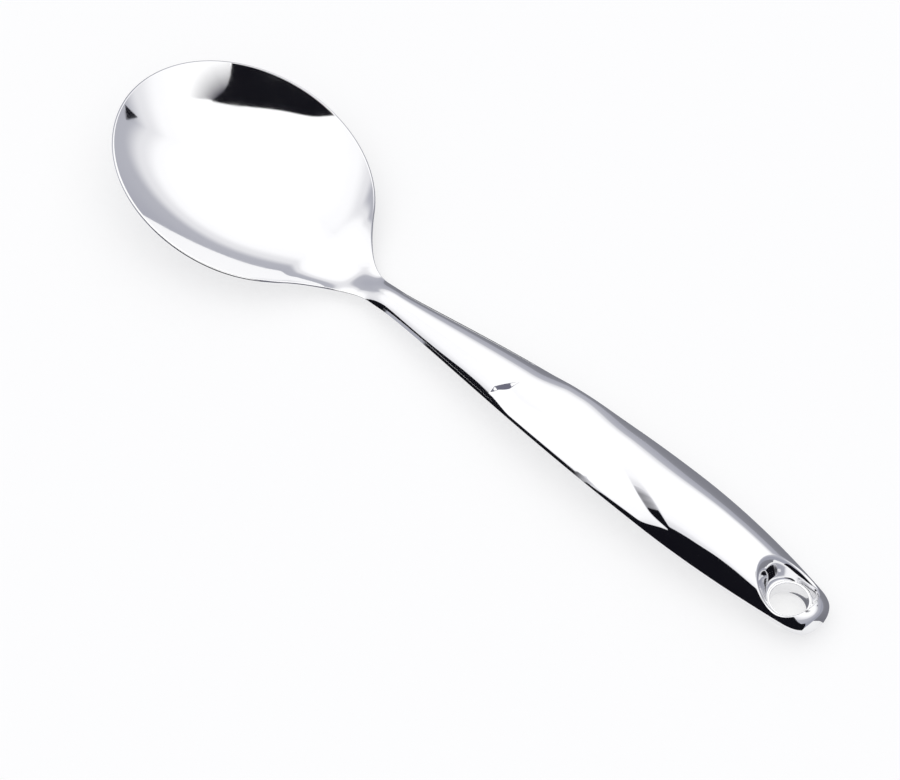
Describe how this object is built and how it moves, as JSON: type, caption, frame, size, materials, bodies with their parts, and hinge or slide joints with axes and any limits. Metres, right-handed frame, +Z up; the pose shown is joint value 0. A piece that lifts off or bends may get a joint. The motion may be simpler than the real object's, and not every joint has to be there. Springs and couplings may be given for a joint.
{
  "type": "serving spoon",
  "caption": "Serving spoon with an oval pressed bowl, a slim neck and a hollow arched handle that ends in a dished hanging hole.",
  "frame": {"origin": "middle of the spoon's plan on the table that it lies on", "axes": "+X from the bowl tip to the handle end, +Y across, +Z up, bowl open upwards"},
  "size_m": [0.272, 0.072, 0.0211],
  "materials": {
    "bowl_steel": "mirror-polished stainless steel",
    "handle_steel": "mirror-polished stainless steel",
    "sleeve_steel": "drawn stainless tube, lightly polished"
  },
  "bodies": {
    "root": {"spoon_bowl": "bowl_steel", "handle_lower_shell": "handle_steel", "handle_upper_shell": "handle_steel", "hole_sleeve": "sleeve_steel"}
  },
  "joints": []
}
